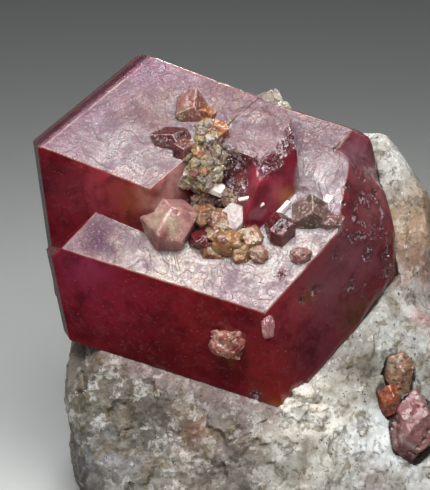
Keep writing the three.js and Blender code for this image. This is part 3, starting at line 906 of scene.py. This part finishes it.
SMALL_GARNET = {
    "pink_garnet": small_crystal_material("pink garnet", 0.2, 0.24, 1.6, 0.14),
    "wine_garnet": small_crystal_material("wine garnet", 0.3, 0.06, 0.5, 0.08),
    "brown_garnet": small_crystal_material("brown garnet", 0.12, 0.3, 0.6, 0.35),
    "orange_garnet": small_crystal_material("orange garnet", 0.2, 0.22, 1.2, 0.2),
}


def on_terrace(left, back, height=0.0):
    """A place on the lower garnet's terrace, or so far above it."""
    return on_garnet("lower", left, back) + height * direction("lower", "terrace")


def on_upper(left, back, height=0.0):
    """A place on the upper garnet's terrace, or so far above it."""
    return on_garnet("upper", left, back) + height * direction("upper", "terrace")


def on_front(left, down, height=0.0):
    """A place on the lower garnet's front face, or so far out of it."""
    return on_garnet("lower", left, 0, down) + height * direction("lower", "front")


PINKS = [(0.44, 0.22, 0.2), (0.5, 0.38, 0.27), (0.3, 0.1, 0.1)]
WINES = [(0.16, 0.012, 0.02), (0.05, 0.004, 0.006)]
BROWNS = [(0.16, 0.09, 0.075), (0.22, 0.13, 0.11), (0.1, 0.06, 0.03)]
ORANGES = [(0.42, 0.15, 0.03), (0.25, 0.06, 0.02)]
# name, slot, colours, centre, radius, turn, stretch, seed
SMALL_CRYSTALS = [
    ("pink_crystal", "pink_garnet", PINKS,
     on_terrace(10.3, 4.4, 0.3), 1.75, (24, 10, 20), (1, 1, 1), 51),
    ("wine_crystal", "wine_garnet", WINES,
     on_terrace(3.5, 6.8, 0.2), 0.98, (14, 10, 4), (1, 1, 1), 52),
    ("grey_crystal", "brown_garnet", BROWNS,
     on_terrace(2.8, 9.1, 0.0), 1.22, (0, -47, 7), (1, 1, 1), 53),
    ("dark_crystal", "wine_garnet", [(0.13, 0.03, 0.03), (0.08, 0.015, 0.015)],
     on_upper(7.4, 4.9, -0.4), 1.17, (-34, -6, -7), (1.15, 0.85, 0.75), 54),
    ("small_dark_crystal", "wine_garnet", [(0.22, 0.07, 0.06), (0.1, 0.02, 0.03)],
     on_upper(5.9, 4.2, -0.35), 0.85, (-10, 15, 0), (1, 1, 1), 55),
    ("brown_crystal", "brown_garnet", [(0.26, 0.1, 0.08), (0.22, 0.13, 0.06)],
     on_upper(8.3, 7.9, -0.3), 1.15, (-4, -32, 11), (0.9, 1, 1.2), 56),
    ("orange_crystal_back", "orange_garnet", ORANGES,
     on_upper(6.9, 8.0, 0.05), 0.55, (0, 20, 10), (1, 1, 1), 57),
    ("orange_crystal_side", "orange_garnet", [(0.45, 0.17, 0.03), (0.25, 0.07, 0.02)],
     on_upper(5.2, 6.8, 0.0), 0.75, (30, 5, 0), (1.2, 1, 0.9), 58),
    ("ochre_crystal", "wine_garnet", WINES,
     on_terrace(7.4, 4.2, 0.1), 0.85, (30, 25, 0), (1.3, 1, 0.7), 59),
    ("grey_crystal_neighbour", "brown_garnet", [(0.22, 0.08, 0.07), (0.14, 0.06, 0.05)],
     on_terrace(1.1, 9.0, -0.2), 0.75, (25, 10, 30), (1.3, 1, 0.8), 60),
]
for name, slot, colours, centre, radius, turn, stretch, seed in SMALL_CRYSTALS:
    points, faces, edge_reach = weathered(crystal(centre, radius, turn, stretch), radius, seed)
    # rim: where the faint painted edge highlight goes.
    rim = 1 - smoothstep(0.02 * radius, 0.07 * radius, edge_reach)
    fields = {"tone": mottled(points, colours, 0.9 * radius, seed), "rim": rim}
    new_piece(name, points, faces, SMALL_GARNET[slot], slot, fields, 30)

# ---- Druse in the notch ----
# A crust of fine olive and grey crystals on a lumpy core, spilling over the broken faces round the
# notch of the upper garnet: a couple of thousand small dodecahedra joined into one mesh.

CRUST_IOR = 1.6
DRUSE_COLOURS = np.array([(0.25, 0.17, 0.075), (0.31, 0.24, 0.12), (0.33, 0.26, 0.22), (0.22, 0.08, 0.07),
                          (0.09, 0.03, 0.035), (0.5, 0.43, 0.38), (0.34, 0.15, 0.05)])


def ball(rounds):
    """A sphere of small triangles: an octahedron's eight faces, cut in four again and again, with
    each new corner drawn out to the sphere."""
    points = np.array([(1, 0, 0), (-1, 0, 0), (0, 1, 0), (0, -1, 0), (0, 0, 1), (0, 0, -1)], float)
    faces = np.array([(0, 2, 4), (2, 1, 4), (1, 3, 4), (3, 0, 4),
                      (2, 0, 5), (1, 2, 5), (3, 1, 5), (0, 3, 5)])
    for _ in range(rounds):
        middles, faces = cut_once(points, faces, lambda ends: np.ones(len(ends), bool))
        points = np.vstack([points, middles])
        points /= np.linalg.norm(points, axis=1, keepdims=True)
    return points, faces


def stone(centre, size, seed, squareness=2.6, roughness=0.06, turn=(0, 0, 0), rounds=5, grain=0.35,
          tilt=0.3):
    """A lumpy stone: a ball drawn out towards a rounded box, with slow ripples and broken grains."""
    way, faces = ball(rounds)
    x, y, z = way.T
    ripple = (np.sin(3.1 * x + 1.7 * y + seed) + np.sin(5.3 * y - 2.9 * z + 2 * seed)
              + 0.7 * np.sin(7.1 * z + 4.3 * x + 3 * seed)
              + 0.45 * np.sin(11.3 * x - 9.7 * y + 8.1 * z + 5 * seed))
    reach = np.sum(np.abs(way) ** squareness, axis=1) ** (-1 / squareness) * (1 + roughness * ripple)
    points = centre + (way * reach[:, None] * np.array(size) / 2) @ turned(turn).T
    relief = facets(points, grain, tilt, seed) + 0.12 * grain * rough_noise(points, 0.5 * grain, seed)
    return points + point_normals(points, faces) * relief[:, None], faces


def scattered(centres, sizes, random):
    """A small dodecahedron at each centre, turned at random: a template carried by arrays of
    centres, sizes and turns. Each turn comes from a random unit quaternion."""
    shape = solid_between(np.array(DODECAHEDRON) / np.sqrt(2), np.ones(12), np.zeros(3))
    template, faces = triangle_arrays(shape)
    q = random.normal(size=(len(centres), 4))
    w, x, y, z = (q / np.linalg.norm(q, axis=1, keepdims=True)).T
    turns = np.array([[1 - 2 * (y * y + z * z), 2 * (x * y - z * w), 2 * (x * z + y * w)],
                      [2 * (x * y + z * w), 1 - 2 * (x * x + z * z), 2 * (y * z - x * w)],
                      [2 * (x * z - y * w), 2 * (y * z + x * w), 1 - 2 * (x * x + y * y)]])
    points = np.einsum("ijn,pj->npi", turns, template) * sizes[:, None, None] + centres[:, None]
    offset = len(template) * np.arange(len(centres))
    return points.reshape(-1, 3), (faces[None] + offset[:, None, None]).reshape(-1, 3), len(template)


def joined(parts):
    """One skin from several: their points in a row, and their faces counted on."""
    starts = np.cumsum([0] + [len(points) for points, _ in parts[:-1]])
    return (np.vstack([points for points, _ in parts]),
            np.vstack([faces + start for (_, faces), start in zip(parts, starts)]))


def druse_material():
    """Fine grossular and calcite grains, each with its own colour, some of them glinting."""
    material, shader, place = start_material("druse")
    fine = broken_grains(place, 0.16, 0.1)
    colour = overlaid(
        own_field(place, "tone", "Color"),
        (noise(place, 4.0, 4.0, 0.6), 0.42, 0.62, 0.6, (0.13, 0.1, 0.055)),
        (fine["Tone"], 0.3, 0.15, 0.5, (0.06, 0.03, 0.02)),
        (fine["Tone"], 0.84, 0.92, 0.5, (0.5, 0.44, 0.38)))
    set_surface(shader, colour, span(fine["Tone"], 0.84, 0.92, 0.6, 0.25), times(fine["Height"], 0.35))
    set_body(shader, CRUST_IOR, 0.5, (1.0, 0.75, 0.55), 0.5)
    return material


# How much of each of the seven colours there is on the core, and where it spreads dark or pale.
CORE_SHARES = (0.26, 0.27, 0.2, 0.08, 0.04, 0.09, 0.06)
DARK_SHARES = (0.1, 0.08, 0.12, 0.3, 0.26, 0.1, 0.04)
PALE_SHARES = (0.25, 0.25, 0.16, 0.12, 0.05, 0.1, 0.07)
CORE_GRAINS = 650

random = np.random.default_rng(7)
core, core_faces = stone(on_upper(4.75, 5.0, -1.25), (2.7, 5.4, 3.3), 1, roughness=0.09, turn=(35, 0, -12),
                         rounds=6, grain=0.45, tilt=0.45)
core_normals = point_normals(core, core_faces)
# Brown and purple lobes of the crust, down to the terrace: garnet, left, back, down, width in mm.
CRUST_LOBES = [("upper", 4.1, 4.4, 2.9, 1.7), ("upper", 3.2, 4.5, 2.8, 1.4),
               ("upper", 2.5, 4.2, 2.8, 1.1), ("lower", 9.3, 7.0, -0.4, 1.6),
               ("lower", 9.0, 5.9, -0.3, 1.4), ("upper", 5.0, 3.2, 1.5, 1.2)]
lobes = [stone(on_garnet(*place), (width, 0.9 * width, 0.8 * width), 7 * width, grain=0.35, tilt=0.4)
         for *place, width in CRUST_LOBES]
# Where the crust spreads: a place, a reach in mm, how many crystals, their largest size, and whether
# they are dark.
SPREAD = [
    (on_upper(6.0, 7.0, 0.1), 1.0, 320, 0.2, 0),
    (on_upper(5.2, 4.6, -0.3), 0.9, 260, 0.17, 0),
    (on_garnet("upper", 3.8, 5.9, 0.9), 0.6, 200, 0.09, 1),
    (on_garnet("upper", 3.0, 5.0, 2.6), 0.6, 160, 0.1, 1),
    (on_terrace(8.0, 5.6, 0.5), 0.8, 260, 0.14, 1),
    (on_terrace(6.4, 5.2, 0.2), 0.7, 160, 0.14, 0),
]
centres, sizes, tones = [], [], []
pick = random.choice(len(core), CORE_GRAINS, replace=False)
centres.append(core[pick] - 0.05 * core_normals[pick])
sizes.append(0.08 + 0.28 * random.uniform(0, 1, len(pick)) ** 2)
tones.append(DRUSE_COLOURS[random.choice(7, len(pick), p=CORE_SHARES)])
for centre, reach, count, largest, dark in SPREAD:
    chance = spot(GARNET_SKIN, centre, reach)
    pick = random.choice(len(GARNET_SKIN), count, replace=False, p=chance / chance.sum())
    centres.append(GARNET_SKIN[pick] + random.uniform(-0.05, 0.05, (count, 3)))
    sizes.append(largest * random.uniform(0.35, 1.0, count) * (0.5 + 0.5 * chance[pick]))
    tones.append(DRUSE_COLOURS[random.choice(7, count, p=DARK_SHARES if dark else PALE_SHARES)])
centres, sizes, tones = np.vstack(centres), np.concatenate(sizes), np.vstack(tones)
tones = tones * random.uniform(0.7, 1.3, (len(tones), 1))
grain_points, grain_faces, corners_each = scattered(centres, sizes, random)
points, faces = joined([(core, core_faces), *lobes, (grain_points, grain_faces)])
LOBE_COLOURS = [(0.2, 0.1, 0.1), (0.34, 0.2, 0.16), (0.28, 0.2, 0.1)]
lobe_tones = [mottled(lobe, LOBE_COLOURS, 0.6, 62) for lobe, _ in lobes]
fields = {"tone": np.vstack([mottled(core, DRUSE_COLOURS[[0, 1, 2]], 0.8, 61), *lobe_tones,
                             np.repeat(tones, corners_each, axis=0)])}
new_piece("druse_crust", points, faces, druse_material(), "druse", fields, 25, "druse")

# ---- Ochre lump and brown buds ----
# Rust-stained garnet where the notch opens onto the terrace: small crystals grown into a lump,
# with a dark red one standing in it. The buds near by and on the front face are rounded.

OCHRE_FADE = np.array([0.35, 0.5, 0.3])  # how much less red, green and blue at its left end
# Crystals of the ochre lump: way left and back on the terrace, height, and width in mm.
OCHRE_CRYSTALS = [(7.2, 5.6, 0.5, 2.0), (8.5, 5.8, 0.7, 1.6), (4.6, 4.2, 0.0, 1.5),
                  (4.9, 5.4, 0.1, 1.8), (6.4, 3.6, -0.1, 1.5), (4.0, 4.4, 0.0, 1.0),
                  (6.8, 4.6, 0.3, 1.6)]
# name, slot, colours, centre, size, grain, its tilt, seed, turn, squareness
LUMPS = [
    ("ochre_lump", "orange_garnet", [(0.38, 0.19, 0.07), (0.23, 0.08, 0.04), (0.44, 0.29, 0.14)],
     on_terrace(5.9, 4.7, 0.1), (2.9, 2.3, 2.0), 0.6, 0.12, 4, (0, 0, 0), 2.4),
    ("bud_left", "brown_garnet", [(0.36, 0.22, 0.16), (0.3, 0.16, 0.08)],
     on_terrace(3.4, 4.4, 0.15), (1.3, 1.1, 1.1), 0.4, 0.12, 2, (0, 0, 0), 2.6),
    ("bud_right", "brown_garnet", [(0.3, 0.14, 0.12), (0.42, 0.26, 0.2)],
     on_terrace(0.9, 5.4, 0.15), (1.5, 1.1, 1.1), 0.35, 0.12, 3, (0, 0, 20), 2.6),
    ("pink_lump", "pink_garnet", [(0.42, 0.16, 0.12), (0.28, 0.06, 0.05), (0.55, 0.32, 0.27)],
     on_front(3.4, 3.6, 0.1), (2.3, 1.4, 2.0), 0.85, 0.3, 6, (0, 0, 0), 3.2),
    ("pale_nub", "pink_garnet", [(0.45, 0.2, 0.22), (0.5, 0.3, 0.26)],
     on_front(0.0, 1.2, -0.1), (0.8, 0.9, 1.7), 0.3, 0.12, 5, (0, 0, 0), 2.6),
]
for name, slot, colours, centre, size, grain, tilt, seed, turn, squareness in LUMPS:
    parts = [stone(centre, size, seed, turn=turn, squareness=squareness, grain=grain, tilt=tilt)]
    if name == "ochre_lump":
        for left, back, height, wide in OCHRE_CRYSTALS:
            shape = crystal(on_terrace(left, back, height - 0.15), 0.5 * wide, (57 * left, 83 * back, 0))
            parts.append(weathered(shape, 0.5 * wide, left, 2.0)[:2])
    points, faces = joined(parts)
    tone = mottled(points, colours, 0.5, seed + 70)
    if name == "ochre_lump":
        tone *= 1 - OCHRE_FADE * spot(points, on_terrace(8.0, 5.8, 0.4), 1.6)[:, None]
    fields = {"tone": tone, "rim": np.zeros(len(points))}
    new_piece(name, points, faces, SMALL_GARNET[slot], slot, fields, 34)

# ---- Pale chips ----
# Cleavage chips of white calcite left on the garnets, thin, flat and bright, and one flake of
# garnet that fell from a terrace.


def calcite_material():
    """White calcite, milky inside, with fine cleavage lines."""
    material, shader, place = start_material("white calcite")
    cloud = noise(place, 3.0, 3.0, 0.6)
    colour = blend(span(cloud, 0.35, 0.65), (0.85, 0.78, 0.7, 1), (0.62, 0.5, 0.45, 1))
    lines = noise(place, 8.0, 3.0, 0.6)
    set_surface(shader, colour, span(cloud, 0.35, 0.65, 0.15, 0.35), times(lines, 0.04))
    set_body(shader, CRUST_IOR, 0.4, (1.0, 0.9, 0.8), 0.4)
    return material


CALCITE = calcite_material()
CHIP_SIDES = ("terrace", "front", "right", "slope")
CHIP_GRAIN = 0.7  # mm: the radius of a crystal with faces as fine as the chips'


def slab_between(centre, halves, turn):
    """A flat chip: four pairs of parallel faces, each pair so far from the centre."""
    normals = np.array([turned(turn) @ direction("lower", side) for side in CHIP_SIDES])
    return solid_between(np.vstack([normals, -normals]), np.array(halves + halves), centre)


# name, centre, half-thickness, half-widths along front, right and slope, turn
CHIPS = [
    ("calcite_chip", on_garnet("upper", 3.1, 3.7, 1.6), (0.14, 0.36, 0.5, 0.42), (0, 10, 20)),
    ("pale_splinter", on_terrace(4.4, 8.7, 0.2), (0.12, 0.5, 0.12, 0.5), (0, 0, 0)),
    ("pale_slab", on_terrace(2.2, 10.4, 0.3), (0.15, 0.26, 0.24, 0.28), (10, 0, 10)),
    ("left_sliver", on_garnet("upper", 0.7, 3.8, 1.5), (0.05, 0.08, 0.5, 0.5), (0, -20, 25)),
    ("right_sliver", on_garnet("upper", 0.3, 4.2, 2.3), (0.05, 0.07, 0.42, 0.42), (0, -45, 10)),
]
for name, centre, halves, turn in CHIPS:
    points, faces, _ = weathered(slab_between(centre, halves, turn), CHIP_GRAIN, 81)
    new_piece(name, points, faces, CALCITE, "calcite", None, 30)

# A fallen piece of a terrace, silky and mauve, wedged between the ochre lump and the red face.
MAUVES = [(0.5, 0.38, 0.34), (0.36, 0.24, 0.28), (0.3, 0.15, 0.12)]
shape = slab_between(on_terrace(6.5, 6.2, 0.95), (0.2, 0.8, 0.7, 1.0), (8, 4, 0))
points, faces, edge_reach = weathered(shape, 1.0, 82)
# Its rim field places the faint painted edge highlight.
fields = {"tone": mottled(points, MAUVES, 0.5, 83),
          "rim": 1 - smoothstep(0.02, 0.08, edge_reach)}
new_piece("terrace_fragment", points, faces, SMALL_GARNET["pink_garnet"], "pink_garnet", fields, 30)

# ---- Garnet grains in the block ----
# Three rough grains of garnet set in the marble beside the large ones: rust, brown and rosy red.
# Round the lower corner of the large garnet, the marble swells up milky and clean.

SKIRT_PROUD = 0.2  # mm: the block stands out this far under the garnets' lower edges
SKIRT_LEAN = 0.8  # how far its slope there leans out, for each mm that it faces up
FRONT_HEIGHT = 6.5 / np.sin(np.radians(54.74))  # mm down the front face's edge to the block

skirt_way = direction("lower", "terrace") + SKIRT_LEAN * direction("lower", "right")
skirt_way /= np.linalg.norm(skirt_way)


def on_skirt(back, drop, height=0.0):
    """A point of the right-hand slope, by distances along its top edge and down the slope."""
    edge = direction("lower", "back")
    return (on_front(0.0, FRONT_HEIGHT, SKIRT_PROUD) + back * edge + drop * np.cross(edge, skirt_way)
            + height * skirt_way)


# Milky calcite that swells up round the lower corner of the large garnet: place on the slope, widths.
LIPS = [((0.9, 0.5, -0.75), (2.6, 2.4, 2.0)), ((2.3, 0.5, -0.8), (2.6, 2.4, 2.0)),
        ((1.6, 1.7, -1.1), (3.4, 2.8, 2.3))]
lip = joined([stone(on_skirt(*place), widths, 70 + 3 * number, roughness=0.05, grain=0.6, tilt=0.3)
              for number, (place, widths) in enumerate(LIPS)])
fields = {"tone": mottled(lip[0], [(0.76, 0.73, 0.66), (0.64, 0.58, 0.48)], 0.8, 74)}
new_piece("calcite_lip", *lip, bpy.data.materials["calcite marble"], "marble", fields, 34)

SMALL_GARNET["raspberry_garnet"] = SMALL_GARNET["pink_garnet"]
# name, slot, colours, centre, radius, turn, stretch, seed
GRAINS_IN_BLOCK = [
    ("rust_grain", "orange_garnet", [(0.36, 0.09, 0.03), (0.2, 0.05, 0.03)],
     on_skirt(6.4, 5.5, -0.3), 0.82, (10, 70, 20), (0.8, 0.8, 1.5), 91),
    ("brown_grain", "brown_garnet", [(0.3, 0.17, 0.1), (0.4, 0.3, 0.2)],
     on_skirt(8.5, 4.7, -0.45), 1.05, (60, 10, 35), (0.9, 0.9, 1.4), 92),
    ("red_grain", "raspberry_garnet", [(0.34, 0.15, 0.15), (0.26, 0.12, 0.11), (0.42, 0.3, 0.28)],
     on_skirt(6.2, 8.2, -0.85), 1.6, (25, 40, 10), (1, 1, 1.3), 93),
]
for name, slot, colours, centre, radius, turn, stretch, seed in GRAINS_IN_BLOCK:
    points, faces, edge_reach = weathered(crystal(centre, radius, turn, stretch), radius, seed, 3.0)
    fields = {"tone": mottled(points, colours, 0.6, seed), "rim": np.zeros(len(points))}
    new_piece(name, points, faces, SMALL_GARNET[slot], slot, fields, 30)

# ---- Stage ----
# A plain pale floor under one square softbox overhead, a little to the front, with weak ones in
# front and behind, in a dim room that is lighter behind the specimen.

FLOOR_SIZE = 3.0
FLOOR_COLOUR = (0.44, 0.45, 0.445, 1)
ROOM_COLOUR = (0.92, 1.0, 0.95, 1)
ROOM_IN_FRONT = 0.015
ROOM_BEHIND = 0.11
# name, place in metres from the middle of the garnets, the way it faces, size, watts, spread
SOFTBOXES = [
    ("softbox", (-0.0025, -0.066, 0.092), (0.0, 0.0, -1.0), 0.11, 0.29, 180),
    ("front fill", (-0.05, -0.19, 0.17), (0.05, 0.19, -0.17), 0.2, 0.015, 70),
    ("back fill", (0.04, 0.22, 0.12), (-0.04, -0.22, -0.12), 0.05, 0.008, 25),
]

floor_mesh = bpy.data.meshes.new("floor")
floor_corners = FLOOR_SIZE / 2 * np.array([(-1, -1, 0), (1, -1, 0), (1, 1, 0), (-1, 1, 0)])
floor_mesh.from_pydata(floor_corners, [], [(0, 1, 2, 3)])
floor_material = bpy.data.materials.new("floor paper")
floor_material.use_nodes = True
fill(floor_material.node_tree.nodes["Principled BSDF"].inputs,
     {"Base Color": FLOOR_COLOUR, "Roughness": 0.9, "Specular IOR Level": 0.1})
floor_mesh.materials.append(floor_material)
floor = bpy.data.objects.new("floor", floor_mesh)
floor.visible_glossy = False
bpy.context.scene.collection.objects.link(floor)

middle = (np.array(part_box("garnet_cluster")[0]) + np.array(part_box("garnet_cluster")[1])) / 2
for name, place, faces_way, size, watts, spread in SOFTBOXES:
    light = bpy.data.lights.new(name, "AREA")
    light.size = size
    light.energy = watts
    light.spread = np.radians(spread)
    lamp = bpy.data.objects.new(name, light)
    lamp.location = middle + place
    lamp.rotation_euler = Vector(-np.array(faces_way)).to_track_quat("Z", "Y").to_euler()
    lamp.visible_camera = False
    bpy.context.scene.collection.objects.link(lamp)

world = bpy.data.worlds.new("room")
world.use_nodes = True
room = world.node_tree
behind = add_node(room, "SeparateXYZ", {0: add_node(room, "TexCoord").outputs["Generated"]}).outputs["Y"]
strength = span(behind, 0.0, 0.8, ROOM_IN_FRONT, ROOM_BEHIND)
fill(room.nodes["Background"].inputs, {"Color": ROOM_COLOUR, "Strength": strength})
bpy.context.scene.world = world
bpy.context.scene.view_settings.view_transform = "Standard"

# ---- Camera ----
# It looks down twenty degrees at the garnets from 210 mm away, through a long lens, with every
# part of them sharp.

CAMERA_AWAY = 210.0
CAMERA_PITCH = 20.0
AIM_FROM_CORNER = (-3.5, 1.628, 4.473)  # mm from the lower garnet's near corner to the middle of the view
LENS_PER_FRAME_HEIGHT = 3000 / 490

pitch = np.radians(CAMERA_PITCH)
aim = CORNER["lower"] + AIM_FROM_CORNER
camera_data = bpy.data.cameras.new("camera")
camera_data.lens = camera_data.sensor_width * LENS_PER_FRAME_HEIGHT
camera_data.clip_start = 0.01
camera = bpy.data.objects.new("camera", camera_data)
camera.location = (aim + CAMERA_AWAY * np.array([0, -np.cos(pitch), np.sin(pitch)])) * MM
camera.rotation_euler = (np.radians(90 - CAMERA_PITCH), 0, 0)
bpy.context.scene.collection.objects.link(camera)
bpy.context.scene.camera = camera
